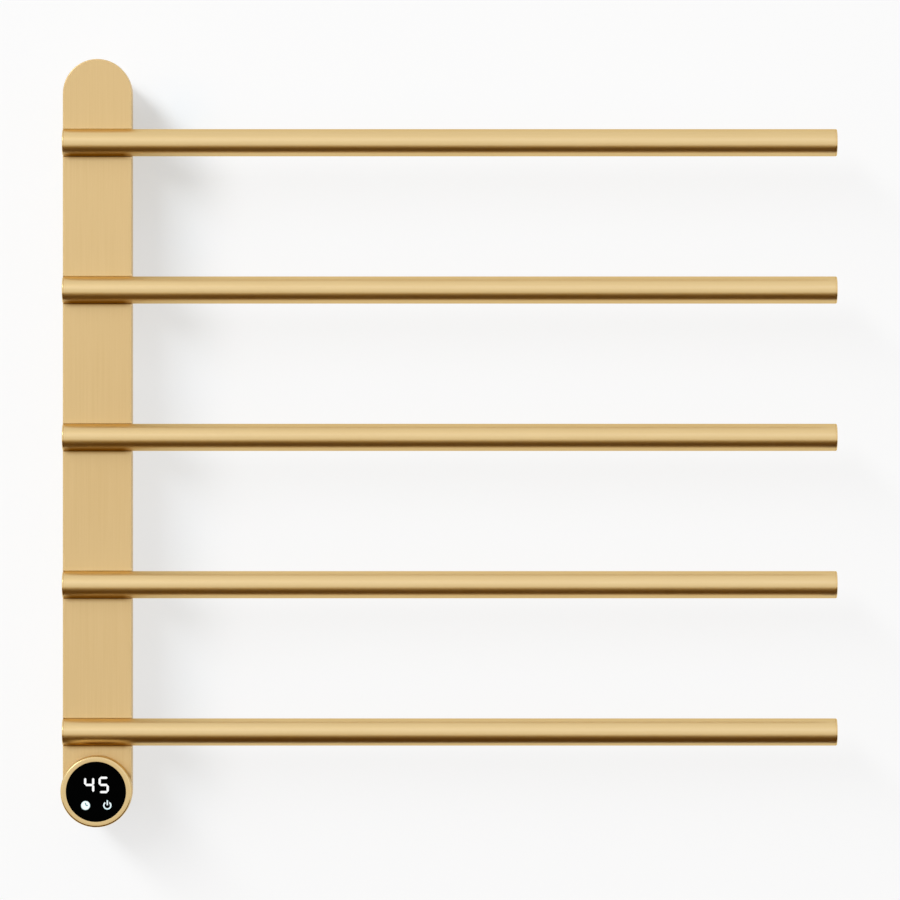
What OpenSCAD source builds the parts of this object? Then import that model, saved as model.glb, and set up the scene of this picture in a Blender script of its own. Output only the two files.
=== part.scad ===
// Electric heated towel rail: five bars cantilevered from a slim column that hangs on a wall
// bracket, with a round control pod at the column's foot whose metal ring turns.
// X runs along the bars, Y into the wall and Z up. The wall is the plane Y = 0, and the origin
// is the centre of the wall fixings, halfway up the column. All sizes are in millimetres.
// A depth is a distance from the wall towards the room, so a depth of 60 is at Y = -60.

/* [Bars] */
// Length of a bar over its end caps
bar_len = 600; // [400:10:900]
// Outer diameter of a bar
bar_d = 21; // [19:0.5:24]
// Wall of a bar's tube
bar_wall = 1.5; // [1:0.1:2]
// Height from one bar to the next
bar_pitch = 114.2; // [112:0.1:130]
// Drop from the centre of the column's round top to the first bar
top_drop = 38.3; // [20:0.1:60]
// Part of an end cap that shows
cap_t = 1.2; // [1:0.1:3]
// Length of an end cap's plug inside the tube
cap_plug = 5; // [3:0.5:8]
// Rounding of an end cap's rim
cap_round = 0.8; // [0.3:0.1:0.9]
// Gap round an end cap's plug
cap_gap = 0.05; // [0.02:0.01:0.15]

/* [Column] */
// Width of the column
col_w = 53.5; // [52:0.5:66]
// Distance from the wall to the column's front face
col_proj = 60; // [56:1:90]
// Wall of the front shell and of the saddles that hold the bars
front_wall = 2; // [1.6:0.1:2.6]
// Gap between a bar and its saddle
seat_gap = 0.1; // [0.05:0.05:0.2]
// Room between a saddle's back and the chassis plate
saddle_room = 1.4; // [1.2:0.1:3]
// Rounding of the front shell's outer edge
edge_round = 0.8; // [0.3:0.1:1.2]
// Chamfer along a saddle's edges in the front face
seat_chamfer = 0.3; // [0.1:0.1:0.8]
// Step from the column's side in to the rear housing
housing_inset = 3.5; // [1:0.5:4]
// Wall of the rear housing
housing_wall = 2; // [1.5:0.1:2.5]
// Thickness of the chassis plate that closes the front shell
plate_t = 2; // [1.5:0.1:3]

/* [Control pod] */
// Outer diameter of the pod's turning ring
pod_d = 55; // [54:0.5:58]
// Height of the ring's face above the column's face
pod_h = 15; // [14:0.5:22]
// Drop from the lowest bar to the pod's centre
pod_drop = 45.4; // [43:0.1:60]
// Diameter of the glass
lens_d = 46.1; // [44:0.1:47]
// Thickness of the glass
lens_t = 2.3; // [1.5:0.1:3]
// Gap between the glass and the ring
lens_gap = 0.2; // [0.2:0.05:0.5]
// How far the glass lies below the ring's face
lens_sink = 0.2; // [0:0.05:0.5]
// Gap between the ring and the column's face
ring_gap = 0.5; // [0.3:0.1:1]
// Wall of the turning ring
ring_wall = 3; // [2.5:0.1:3.2]
// Wall of the plastic carrier inside the ring
carrier_wall = 4.5; // [4.3:0.1:5]
// Running clearance between the carrier and the fixed core
run_clear = 0.08; // [0.03:0.01:0.1]
// Number of clicks in one turn of the ring
clicks = 24; // [12:4:28]

/* [Display] */
// Height between the top and bottom strokes of a digit, on their centre lines
digit_h = 11; // [8:0.5:12]
// Width between the side strokes of a digit, on their centre lines
digit_w = 6.2; // [5:0.1:7]
// Width of a digit's stroke
stroke = 1.75; // [1.5:0.05:2.6]
// Distance between the centres of the two digits
digit_pitch = 11.2; // [10.5:0.1:12]
// Height of the digits' centre above the pod's centre
digit_up = 5.35; // [4:0.05:6]
// Distance between the centres of the two touch icons
icon_pitch = 16.8; // [14:0.1:17]
// Drop from the pod's centre to the touch icons
icon_down = 10.5; // [9:0.1:11]
// Radius of the timer icon
icon_r = 3.5; // [3:0.1:4]
// Shift of the whole display to the right of the pod's centre
display_shift = 0.4; // [0:0.1:0.5]
// Depth to which the lit windows are let into the glass
window_t = 0.4; // [0.2:0.1:0.8]

/* [Wall bracket] */
// Height between the upper and lower wall screws
fix_span = 400; // [340:10:430]
// Width between the left and right wall screws
fix_gap = 20; // [12:1:22]
// Radius of a wall screw hole
fix_r = 2.5; // [2:0.1:3]
// Thickness of the bracket's plate
bracket_t = 2; // [1.5:0.1:3]
// Depth of the bracket's side flanges, from the wall
flange_depth = 14; // [12:0.5:16]
// Height between the two hanger rods
rod_span = 300; // [200:10:320]
// Radius of a hanger rod
rod_r = 2.5; // [2:0.1:3]
// Radius of the bore in the supply cable's grommet
cable_r = 4.5; // [3:0.1:5]

/* [Hidden] */
$fn = 48;

// Colours
gold = [0.80, 0.66, 0.42];
steel = [0.68, 0.69, 0.70];
black = [0.07, 0.07, 0.08];
board_green = [0.08, 0.32, 0.20];
copper = [0.75, 0.45, 0.28];
lit_white = [0.96, 0.98, 0.98];

// Column and bars
bar_count = 5;
bar_r = bar_d / 2;
bore_r = bar_r - bar_wall;
seat_r = bar_r + seat_gap;
seat_out_r = seat_r + front_wall;
front_depth = seat_out_r + saddle_room;
axis_len = top_drop + (bar_count - 1) * bar_pitch + pod_drop;
col_half = col_w / 2;
bar_x0 = -col_half;
bar_x1 = bar_x0 + bar_len;
face_back = col_proj - front_wall;
plate_front = col_proj - front_depth;
plate_back = plate_front - plate_t;
housing_half = col_half - housing_inset;
inner_half = housing_half - housing_wall;
pod_z = -axis_len / 2;
function bar_z(i) = axis_len / 2 - top_drop - i * bar_pitch;
function gap_z(i) = (bar_z(i) + bar_z(i + 1)) / 2;

// Screws: thread radius, head radius, head height, thread gap and through-hole gap
m4_r = 2;
m4_head_r = 3.5;
m4_head_h = 2.4;
m3_r = 1.5;
m3_head_r = 2.6;
m3_head_h = 1.8;
thread_gap = 0.03;
hole_gap = 0.25;
socket_share = 0.45;
cut = 1;

// Saddle fixings and the leads that leave each bar
nut_end = 5;
nut_room = 1.8;
bar_screw_x = col_half - cap_t - cap_plug - nut_end - nut_room;
spot_gap = 0.7;
spot_r = m4_head_r + spot_gap;
spot_extra = 0.05;
spot_cut = seat_out_r - sqrt(seat_out_r * seat_out_r - spot_r * spot_r) + spot_extra;
bar_head_depth = col_proj - seat_out_r + spot_cut;
access_gap = 1;
access_r = m4_head_r + access_gap;
nut_face = 2;
nut_gap = 0.1;
nut_half_len = bar_screw_x + nut_end;
nut_short = 0.8;
bar_screw_len = col_proj - nut_face - nut_short - bar_head_depth;
lead_hole_r = 4;
plate_lead_r = 5;
grommet_gap = 0.05;
grommet_in_r = 3.25;
grommet_flange_t = 0.9;

// Heating element: leg radius, gap to the bore, tail radius and half the tails' spacing
leg_r = 2.2;
leg_gap = 0.2;
leg_off = bore_r - leg_r - leg_gap;
leg_start = 6;
leg_x0 = nut_half_len + leg_start;
leg_end = 24;
leg_x1 = bar_x1 - cap_t - cap_plug - leg_end;
tail_r = 1.2;
knuckle = 1.12;
tail_off = 1.9;
tail_in = 1.5;

// Housing screws
post_in = 5.5;
post_x = inner_half - post_in;
post_r = 4;
post_hole_end = 1;
end_post = 12;
housing_screw_len = 9;
post_spots = concat([for (i = [0:bar_count - 2], s = [-1, 1]) [s * post_x, gap_z(i)]],
  [for (s = [-1, 1]) [0, s * (axis_len / 2 + end_post)]]);

// Loom along the column's left side
splice_half = 5.5;
splice_up = 6;
splice_h = 8;
loom_r = 2.2;
loom_in = 4.5;
loom_x = loom_in - inner_half;
loom_off = 6;
loom_depth = plate_back - loom_off;
branch_r = 1.6;
loom_end = 3;
clip_side = 1.3;
clip_up = 6;
clip_drop = 35;

// Power board, between the two lowest bars
standoff_h = 6;
standoff_r = 3;
board_t = 1.6;
board_room = 13;
board_w = 2 * inner_half - board_room;
board_h = 80;
board_side = 2.5;
board_x = inner_half - board_side - board_w / 2;
board_z = gap_z(bar_count - 2);
board_front = plate_back - standoff_h;
board_back = board_front - board_t;
board_screw_bite = 4;
board_head_r = 2.4;
corner_in = 3.5;
board_spots = [for (sx = [-1, 1], sz = [-1, 1])
  [board_x + sx * (board_w / 2 - corner_in), board_z + sz * (board_h / 2 - corner_in)]];
header_in = 2;
header_top = board_z + board_h / 2 - header_in;
header_h = 9;
header_w = 7;
header_deep = 8;
header_z = header_top - header_h / 2;
loom_header_left = 8;
loom_header_x = board_x - loom_header_left;
supply_header_w = 8;
supply_header_right = 4.5;
supply_wire_x = board_x + supply_header_right;
supply_wire_gap = 2;

// Parts on the power board: the fuse below the headers, then relay and capacitor side by
// side, then the supply module down to the lower screws. Places are from the board's centre.
fuse_r = 2.7;
fuse_step = 0.4;
fuse_half = 10;
ferrule_len = 5;
fuse_gap = 2.3;
fuse_up = board_h / 2 - header_in - header_h - fuse_gap - fuse_r;
relay_size = [11, 20, 14];
relay_left = 6.5;
relay_up = fuse_up - fuse_r - fuse_gap - relay_size[1] / 2;
capacitor_size = [8, 18, 12];
capacitor_right = 6.5;
module_w = 21;
module_deep = 15;
module_rim = 2;
module_rim_h = 0.5;
module_gap = 4;
module_foot_gap = 2.1;
module_top = relay_up - relay_size[1] / 2 - module_gap;
module_foot = corner_in + board_head_r + module_foot_gap - board_h / 2;
module_h = module_top - module_foot;

// Terminal block, behind the bracket's cable hole
terminal_z = gap_z(bar_count - 3);
terminal_room = 5;
terminal_w = 2 * (post_x - terminal_room);
terminal_h = 18;
terminal_low = terminal_z - terminal_h / 2;
terminal_high = terminal_z + terminal_h / 2;
terminal_deep = 14;
terminal_pitch = 6.5;
clamp_r = 2;
clamp_gap = 0.1;
clamp_sunk = 2;
clamp_len = 3;
cutout_r = 8;
cutout_can_r = 7;
cutout_deep = 8;
cutout_foot_t = 3;
cutout_x = 3;
cutout_up = 11;
cutout_z = terminal_high + cutout_up + cutout_r;
earth_x = -terminal_pitch;
earth_drop = 24;
earth_z = terminal_low - earth_drop;
earth_lug_r = 4.5;
earth_lug_t = 1;
earth_wire_r = 1.4;
earth_wire_off = 4;
earth_wire_drop = 8;
earth_lap = 0.6;
wire_off = 12;
wire_depth = plate_back - wire_off;

// Temperature sensor on the inside of the column's face, in front of the board's lower edge
// and above the lowest saddle
sensor_w = 8;
sensor_gap = 2;
sensor_z = max(board_z - board_h / 2 + corner_in,
  bar_z(bar_count - 1) + seat_out_r + sensor_gap + sensor_w / 2);
sensor_t = 4;
sensor_wire_r = 0.8;
sensor_wire_in = 0.5;
sensor_hole_r = 2;

// Wall bracket
bracket_room = 3.5;
bracket_half = inner_half - bracket_room;
bracket_over = 20;
bracket_top = fix_span / 2 + bracket_over;
bracket_foot_up = 10;
bracket_foot = pod_z + bracket_foot_up;
bracket_tongue_half = 7;
tab_up = 12;
tab_z = pod_z - inner_half + tab_up;
tab_t = 1.5;
lock_sunk = 0.5;
rod_depth = 8;
rod_gap = 0.05;
rod_lift = 8;
grommet_wall = 2.5;
grommet_step = 0.5;
grommet_lip = 2.5;
grommet_lip_t = 1.5;
grommet_len = 5;

// Control pod
pod_r = pod_d / 2;
lens_r = lens_d / 2;
pod_face = col_proj + pod_h;
lens_face = pod_face - lens_sink;
lens_back = lens_face - lens_t;
gasket_t = 0.3;
core_top = lens_back - gasket_t;
core_r = pod_r - ring_wall - carrier_wall;
core_up_wall = 1.8;
core_up_r = core_r - core_up_wall;
core_low_wall = 3.4;
core_low_r = core_r - core_low_wall;
core_floor = 2;
core_flange_t = 1.2;
core_flange_w = 2.5;
core_flange_r = core_r + core_flange_w;
clip_t = 0.7;
clip_w = 2;
clip_split = [5, 8];
clip_sink = 0.3;
clip_slack = 0.05;
groove_deep = 0.6;
groove_r = core_r - groove_deep;
clip_front = core_top - clip_sink;
clip_back = clip_front - clip_t;
side_slack = 0.2;
carrier_front = clip_back - side_slack;
flange_slack = 0.3;
carrier_back = col_proj + core_flange_t + flange_slack;
press_gap = 0.05;
carrier_in_r = core_r + run_clear;
carrier_out_r = pod_r - ring_wall - press_gap;
magnet_t = 2;
magnet_in = 1;
magnet_w = 2.2;
magnet_in_r = core_r + magnet_in;
magnet_out_r = magnet_in_r + magnet_w;
ring_round = 1.5;
lip_round = 0.15;
pod_screw_ring = 13;
pod_screw_angles = [90, 210, 330];
pod_boss_h = 7;
pod_boss_r = 3;
pod_hole_end = 1;
pod_screw_end = 2;

// Click detent: plunger, leaf spring and the notches in the carrier
plunger_r = 1.2;
plunger_gap = 0.05;
plunger_out = 0.4;
plunger_tail = core_low_r - plunger_out;
nose_in = 0.7;
plunger_nose = core_r - nose_in;
plunger_up = 3.5;
plunger_depth = carrier_back + plunger_up;
notch_r = 1.6;
notch_in = 0.6;
notch_ring = core_r - notch_in;
notch_roof = 0.5;
leaf_t = 0.4;
leaf_half = 3;
leaf_deep = 4;

// Display stack
display_gap = 1.9;
display_board_t = 1.2;
display_front = lens_back - display_gap;
display_back = display_front - display_board_t;
board_edge_gap = 0.2;
display_board_r = core_up_r - board_edge_gap;
light_box = [21, 15];
light_box_gap = 0.2;
pad_r = 2.8;
gasket_in = 0.1;
lens_chamfer = 0.3;
segment_gap = 0.06;
hand_w = 0.8;
long_hand = 2.1;
short_hand = 1.3;
hands_tilt = 20;
hands_at = [0.5, 0];
power_r = 3.24;
power_stroke = 1.08;
power_gap = 70;
power_bar_up = 0.2;
power_bar_h = 3.85;
hall_ring = 14.5;
hall_size = [4, 3, 1.2];
hall_angles = [60, 120];
ribbon_x = 8.5;
ribbon_w = 5;
ribbon_t = 0.6;
ribbon_side = 0.5;
ribbon_header = [8, 5, 2.4];
ribbon_off = 4;
ribbon_depth = plate_back - ribbon_off;
ribbon_slot = [8, 4];
ribbon_gap = 1;
ribbon_foot = board_z - board_h / 2 + corner_in + standoff_r + ribbon_gap;
board_header_w = 7;
board_header_h = 8;
board_header_deep = 3.4;

// Stretches a flat drawing, in X and Z as seen from the room, between two depths
module layer(from, to) {
  translate([0, -from, 0]) rotate([90, 0, 0]) linear_extrude(height = to - from) children();
}

// Round bar between two depths, at the origin's X and Z
module disc(from, to, r) {
  translate([0, -from, 0]) rotate([90, 0, 0]) cylinder(r = r, h = to - from);
}

// Flat ring between two depths
module ring(from, to, out_r, in_r) {
  difference() {
    disc(from, to, out_r);
    disc(from - cut, to + cut, in_r);
  }
}

// Block centred on X and Z, between two depths
module block(from, to, w, h) {
  layer(from, to) square([w, h], center = true);
}

// Long outline of the column, with round ends
module stadium(half) {
  square([2 * half, axis_len], center = true);
  for (s = [-1, 1]) translate([0, s * axis_len / 2]) circle(r = half);
}

// Screw that points into the room, with its head's underside at the given depth
module screw(depth, length, r, head_r, head_h) {
  disc(depth, depth + length, r);
  difference() {
    disc(depth - head_h, depth, head_r);
    translate([0, cut - depth + head_h, 0]) rotate([90, 0, 0])
      cylinder(r = head_r * socket_share, h = cut + head_h / 2, $fn = 6);
  }
}

// Straight round rod between two points
module rod_between(a, b, r) {
  v = b - a;
  translate(a) rotate([0, acos(v[2] / norm(v)), atan2(v[1], v[0])])
    cylinder(r = r, h = norm(v));
}

// Insulated wire along a list of points, with a knuckle at each bend
module wire(points, r) {
  for (i = [0:len(points) - 2]) rod_between(points[i], points[i + 1], r);
  for (i = [1:len(points) - 2]) translate(points[i]) sphere(r = r * knuckle);
}

module at_bar(i) { translate([0, -col_proj, bar_z(i)]) children(); }

module at_pod() { translate([0, 0, pod_z]) children(); }

module at_spot(p) { translate([p[0], 0, p[1]]) children(); }

module along_x(x0, x1, r) { translate([x0, 0, 0]) rotate([0, 90, 0]) cylinder(r = r, h = x1 - x0); }

// Solid outline of the front shell, with its front edge rounded
module shell_body() {
  layer(plate_front, col_proj - edge_round) stadium(col_half);
  layer(plate_front, col_proj) stadium(col_half - edge_round);
  for (s = [-1, 1]) {
    translate([s * (col_half - edge_round), edge_round - col_proj, 0])
      cylinder(r = edge_round, h = axis_len, center = true);
    translate([0, edge_round - col_proj, s * axis_len / 2]) rotate([90, 0, 0])
      rotate_extrude() translate([col_half - edge_round, 0]) intersection() {
        circle(r = edge_round);
        square(edge_round);
      }
  }
}

// Chamfer along both edges of a saddle, to cut from the front face at the bar's axis
module seat_edges() {
  open = seat_r + seat_chamfer + cut;
  rotate([90, 0, 90]) linear_extrude(height = 2 * col_w, center = true)
    polygon([[-cut, -open], [-cut, open], [seat_chamfer, seat_r], [seat_chamfer, -seat_r]]);
}

// Front shell: face, sides, five saddles and the posts that take the housing's screws
module column_front() {
  color(gold) difference() {
    union() {
      difference() {
        shell_body();
        layer(plate_front - cut, face_back) stadium(col_half - front_wall);
      }
      intersection() {
        layer(plate_front, col_proj) square([col_w, axis_len], center = true);
        for (i = [0:bar_count - 1]) at_bar(i) along_x(-col_half, col_half, seat_out_r);
      }
      for (p = post_spots) at_spot(p) disc(plate_front, face_back, post_r);
    }
    for (i = [0:bar_count - 1]) {
      at_bar(i) along_x(-col_w, col_w, seat_r);
      at_bar(i) seat_edges();
      for (s = [-1, 1]) translate([s * bar_screw_x, 0, bar_z(i)]) {
        disc(plate_front, col_proj, m4_r + hole_gap);
        disc(plate_front - cut, bar_head_depth, spot_r);
      }
      translate([0, 0, bar_z(i)]) disc(plate_front - cut, col_proj, lead_hole_r);
    }
    for (p = post_spots) at_spot(p)
      disc(plate_front - cut, plate_back + housing_screw_len + post_hole_end, m4_r + thread_gap);
    at_pod() {
      for (a = pod_screw_angles) pod_screw_at(a)
        disc(face_back - cut, col_proj + cut, m3_r + hole_gap);
      translate([ribbon_x, 0, 0])
        block(face_back - cut, col_proj + cut, ribbon_slot[0], ribbon_slot[1]);
    }
  }
}

// Rear housing: chassis plate, side walls back to the wall, and the board's standoffs
module column_housing() {
  color(gold) difference() {
    union() {
      layer(plate_back, plate_front) stadium(col_half);
      difference() {
        layer(0, plate_back) stadium(housing_half);
        layer(-cut, plate_back) stadium(inner_half);
      }
      for (p = board_spots) at_spot(p) disc(board_front, plate_back, standoff_r);
    }
    for (i = [0:bar_count - 1]) translate([0, 0, bar_z(i)]) {
      for (s = [-1, 1]) translate([s * bar_screw_x, 0, 0])
        disc(plate_back - cut, plate_front + cut, access_r);
      disc(plate_back - cut, plate_front + cut, plate_lead_r);
    }
    for (p = post_spots) at_spot(p)
      disc(plate_back - cut, plate_front + cut, m4_r + hole_gap);
    for (p = board_spots) at_spot(p)
      disc(board_front - cut, plate_back, m3_r + thread_gap);
    at_pod() translate([ribbon_x, 0, 0])
      block(plate_back - cut, plate_front + cut, ribbon_slot[0], ribbon_slot[1]);
    translate([0, 0, sensor_z]) disc(plate_back - cut, plate_front + cut, sensor_hole_r);
    translate([earth_x, 0, earth_z])
      disc(plate_back - cut, plate_front + cut, m3_r + thread_gap);
    translate([0, -rod_depth, pod_z - housing_half - cut])
      cylinder(r = m4_r + thread_gap, h = housing_wall + 2 * cut);
  }
}

// L-shaped slot in the bracket's flanges: in from the front, then down to the rod's seat
module hook_slot(z) {
  r = rod_r + rod_gap;
  translate([-bracket_half - cut, 0, z]) {
    translate([0, -rod_depth, 0]) rotate([0, 90, 0])
      cylinder(r = r, h = 2 * (bracket_half + cut));
    translate([0, -rod_depth - r, 0]) cube([2 * (bracket_half + cut), 2 * r, rod_lift]);
    translate([0, -flange_depth - cut, rod_lift - r])
      cube([2 * (bracket_half + cut), flange_depth + cut - rod_depth + r, 2 * r]);
  }
}

// Pressed steel bracket with two hooked flanges and a tab for the lock screw
module wall_bracket() {
  color(steel) difference() {
    union() {
      layer(0, bracket_t) polygon([[-bracket_half, bracket_top], [-bracket_half, bracket_foot],
        [-bracket_tongue_half, bracket_foot], [-bracket_tongue_half, tab_z],
        [bracket_tongue_half, tab_z], [bracket_tongue_half, bracket_foot],
        [bracket_half, bracket_foot], [bracket_half, bracket_top]]);
      for (s = [0, 1]) mirror([s, 0, 0])
        translate([bracket_half - tab_t, -flange_depth, bracket_foot])
          cube([tab_t, flange_depth, bracket_top - bracket_foot]);
      translate([-bracket_tongue_half, -flange_depth, tab_z])
        cube([2 * bracket_tongue_half, flange_depth, tab_t]);
    }
    for (sx = [-1, 1], sz = [-1, 1]) translate([sx * fix_gap / 2, 0, sz * fix_span / 2])
      disc(-cut, bracket_t + cut, fix_r);
    for (s = [-1, 1]) hook_slot(s * rod_span / 2);
    translate([0, 0, terminal_z])
      disc(-cut, bracket_t + cut, cable_r + grommet_wall + grommet_gap);
  }
}

// Two rods across the housing that drop into the bracket's hooks
module hanger_rods() {
  color(steel) for (s = [-1, 1]) translate([0, -rod_depth, s * rod_span / 2])
    along_x(-inner_half, inner_half, rod_r);
}

// Set screw up through the housing's foot, against the bracket's tab
module lock_screw() {
  foot = pod_z - housing_half + lock_sunk;
  color(steel) translate([0, -rod_depth, foot]) difference() {
    cylinder(r = m4_r, h = tab_z - foot);
    translate([0, 0, -cut]) cylinder(r = m4_r * socket_share, h = cut + m4_r, $fn = 6);
  }
}

module housing_screws() {
  color(steel) for (p = post_spots) at_spot(p)
    screw(plate_back, housing_screw_len, m4_r, m4_head_r, m4_head_h);
}

// Bar tube, with two screw holes and a lead hole in its back
module towel_bar(i) {
  color(gold) difference() {
    at_bar(i) along_x(bar_x0 + cap_t, bar_x1 - cap_t, bar_r);
    at_bar(i) along_x(bar_x0, bar_x1, bore_r);
    translate([0, 0, bar_z(i)]) {
      for (s = [-1, 1]) translate([s * bar_screw_x, 0, 0])
        disc(plate_front, col_proj, m4_r + hole_gap);
      disc(plate_front, col_proj, lead_hole_r);
    }
  }
}

// End cap with a rounded rim, drawn with its face at X = 0 and its plug towards +X
module end_cap() {
  rotate([0, 90, 0]) rotate_extrude() {
    translate([0, cap_round]) square([bar_r, cap_t - cap_round]);
    square([bar_r - cap_round, cap_t]);
    translate([bar_r - cap_round, cap_round]) intersection() {
      circle(r = cap_round);
      translate([0, -cap_round]) square([cap_round, cap_t]);
    }
    translate([0, cap_t - cap_gap]) square([bore_r - cap_gap, cap_plug + cap_gap]);
  }
}

module inner_caps() {
  color(gold) for (i = [0:bar_count - 1]) at_bar(i) translate([bar_x0, 0, 0]) end_cap();
}

module outer_caps() {
  color(gold) for (i = [0:bar_count - 1]) at_bar(i) translate([bar_x1, 0, 0])
    mirror([1, 0, 0]) end_cap();
}

// Hairpin element along the bore's top and bottom, with two tails out through the bar's back
module heating_element(i) {
  color(copper) at_bar(i) {
    for (s = [-1, 1]) {
      translate([0, 0, s * leg_off]) along_x(leg_x0, leg_x1, leg_r);
      wire([[leg_x0 + tail_in, 0, s * leg_off], [0, 0, s * leg_off], [0, 0, s * tail_off],
        [0, col_proj - plate_back, s * tail_off]], tail_r);
    }
    translate([leg_x1, 0, 0]) rotate([90, 0, 0]) rotate([0, 0, -90])
      rotate_extrude(angle = 180) translate([leg_off, 0]) circle(r = leg_r);
  }
}

// Half-round steel blocks in the bores, threaded for the saddle screws
module nut_blocks() {
  color(steel) for (i = [0:bar_count - 1]) difference() {
    at_bar(i) intersection() {
      along_x(-nut_half_len, nut_half_len, bore_r - nut_gap);
      translate([-nut_half_len, nut_face, -bore_r]) cube([2 * nut_half_len, bore_r, 2 * bore_r]);
    }
    translate([0, 0, bar_z(i)]) {
      for (s = [-1, 1]) translate([s * bar_screw_x, 0, 0])
        disc(plate_front, col_proj, m4_r + thread_gap);
      disc(plate_front, col_proj, lead_hole_r);
    }
  }
}

module bar_screws() {
  color(steel) for (i = [0:bar_count - 1], s = [-1, 1]) translate([s * bar_screw_x, 0, bar_z(i)])
    screw(bar_head_depth, bar_screw_len, m4_r, m4_head_r, m4_head_h);
}

// Rubber bushes that guard the leads through each saddle and tube wall
module lead_grommets() {
  saddle_back = col_proj - seat_out_r;
  color(black) for (i = [0:bar_count - 1]) translate([0, 0, bar_z(i)]) difference() {
    union() {
      disc(saddle_back - grommet_flange_t, saddle_back, plate_lead_r);
      disc(saddle_back - grommet_flange_t, col_proj - bore_r, lead_hole_r - grommet_gap);
    }
    disc(plate_front - cut, col_proj, grommet_in_r);
  }
}

// Splices on the chassis plate where each bar's tails join the loom
module splice_blocks() {
  color(lit_white) for (i = [0:bar_count - 1]) translate([0, 0, bar_z(i)])
    block(plate_back - splice_h, plate_back, 2 * splice_half, 2 * splice_up);
}

// Loom: one trunk up the column, a branch to each splice and one to the power board
module heater_loom() {
  header_depth = board_back - header_deep / 2;
  color(black) {
    rod_between([loom_x, -loom_depth, bar_z(bar_count - 1) - loom_end],
      [loom_x, -loom_depth, bar_z(0) + loom_end], loom_r);
    for (i = [0:bar_count - 1]) rod_between([loom_x, -loom_depth, bar_z(i)],
      [-splice_half, -loom_depth, bar_z(i)], branch_r);
    wire([[loom_x, -loom_depth, header_z], [loom_x, -header_depth, header_z],
      [loom_header_x, -header_depth, header_z]], branch_r);
  }
}

module loom_clips() {
  color(lit_white) for (i = [0:bar_count - 2])
    translate([loom_x, 0, bar_z(i) - clip_drop]) difference() {
      block(loom_depth - loom_r - clip_side, plate_back, 2 * (loom_r + clip_side), clip_up);
      translate([0, -loom_depth, 0])
        cylinder(r = loom_r + thread_gap, h = 2 * clip_up, center = true);
    }
}

module power_board() {
  color(board_green) difference() {
    translate([board_x, 0, board_z]) block(board_back, board_front, board_w, board_h);
    for (p = board_spots) at_spot(p) disc(board_back - cut, board_front + cut, m3_r + hole_gap);
  }
}

module on_board(at) { translate([board_x + at[0], 0, board_z + at[1]]) children(); }

// Supply module on the board's lower half: a moulded block with a raised middle
module power_module() {
  low = board_back - module_deep;
  color(black) on_board([0, (module_top + module_foot) / 2]) {
    block(low, board_back, module_w, module_h);
    block(low - module_rim_h, board_back, module_w - 2 * module_rim, module_h - 2 * module_rim);
  }
}

module relay() {
  color([0.10, 0.25, 0.55]) on_board([-relay_left, relay_up])
    block(board_back - relay_size[2], board_back, relay_size[0], relay_size[1]);
}

// Film capacitor beside the relay, with round shoulders
module filter_capacitor() {
  w = capacitor_size[0];
  h = capacitor_size[1];
  low = board_back - capacitor_size[2];
  color([0.75, 0.60, 0.12]) on_board([capacitor_right, relay_up]) {
    block(low, board_back, w, h);
    translate([0, -low, 0]) cylinder(r = w / 2, h = h, center = true);
  }
}

// Cartridge fuse across the board, with its two end ferrules
module fuse() {
  color(steel) on_board([0, fuse_up]) translate([0, fuse_r - board_back, 0]) {
    along_x(-fuse_half + ferrule_len / 2, fuse_half - ferrule_len / 2, fuse_r - fuse_step);
    along_x(-fuse_half, ferrule_len - fuse_half, fuse_r);
    along_x(fuse_half - ferrule_len, fuse_half, fuse_r);
  }
}

// Headers: loom, supply and display ribbon
module board_connectors() {
  color(lit_white) {
    translate([loom_header_x + header_w / 2, 0, header_z])
      block(board_back - header_deep, board_back, header_w, header_h);
    translate([supply_wire_x, 0, header_z])
      block(board_back - header_deep, board_back, supply_header_w, header_h);
    translate([ribbon_x, 0, ribbon_foot + board_header_h / 2])
      block(board_front, board_front + board_header_deep, board_header_w, board_header_h);
    at_pod() translate([ribbon_x, 0, 0])
      block(display_back - ribbon_header[2], display_back, ribbon_header[0], ribbon_header[1]);
  }
}

module board_screws() {
  color(steel) for (p = board_spots) at_spot(p)
    screw(board_back, board_t + board_screw_bite, m3_r, board_head_r, m3_head_h);
}

// Terminal block on the chassis plate, with its clamp screws towards the wall
module terminal_block() {
  low = plate_back - terminal_deep;
  color(lit_white) translate([0, 0, terminal_z]) difference() {
    block(low, plate_back, terminal_w, terminal_h);
    for (k = [-1:1]) translate([k * terminal_pitch, 0, 0])
      disc(low - cut, low + clamp_sunk + clamp_len, clamp_r + clamp_gap);
  }
}

module terminal_screws() {
  low = plate_back - terminal_deep + clamp_sunk;
  color(steel) for (k = [-1:1]) translate([k * terminal_pitch, 0, terminal_z])
    disc(low, low + clamp_len, clamp_r);
}

// Bimetal cut-out: a round can with a flanged foot against the chassis plate
module thermal_cutout() {
  color(steel) translate([cutout_x, 0, cutout_z]) {
    disc(plate_back - cutout_deep, plate_back, cutout_can_r);
    disc(plate_back - cutout_foot_t, plate_back, cutout_r);
  }
}

// Wires from the terminal block to the board, and through the cut-out to the loom
module supply_leads() {
  color([0.45, 0.24, 0.12]) {
    for (s = [-1, 1]) rod_between([supply_wire_x + s * supply_wire_gap, -wire_depth, header_top],
      [supply_wire_x + s * supply_wire_gap, -wire_depth, terminal_low], tail_r);
    rod_between([cutout_x, -loom_depth, terminal_high],
      [cutout_x, -loom_depth, cutout_z - cutout_can_r], tail_r);
    rod_between([loom_x + loom_r, -loom_depth, cutout_z],
      [cutout_x - cutout_can_r, -loom_depth, cutout_z], tail_r);
  }
}

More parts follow.
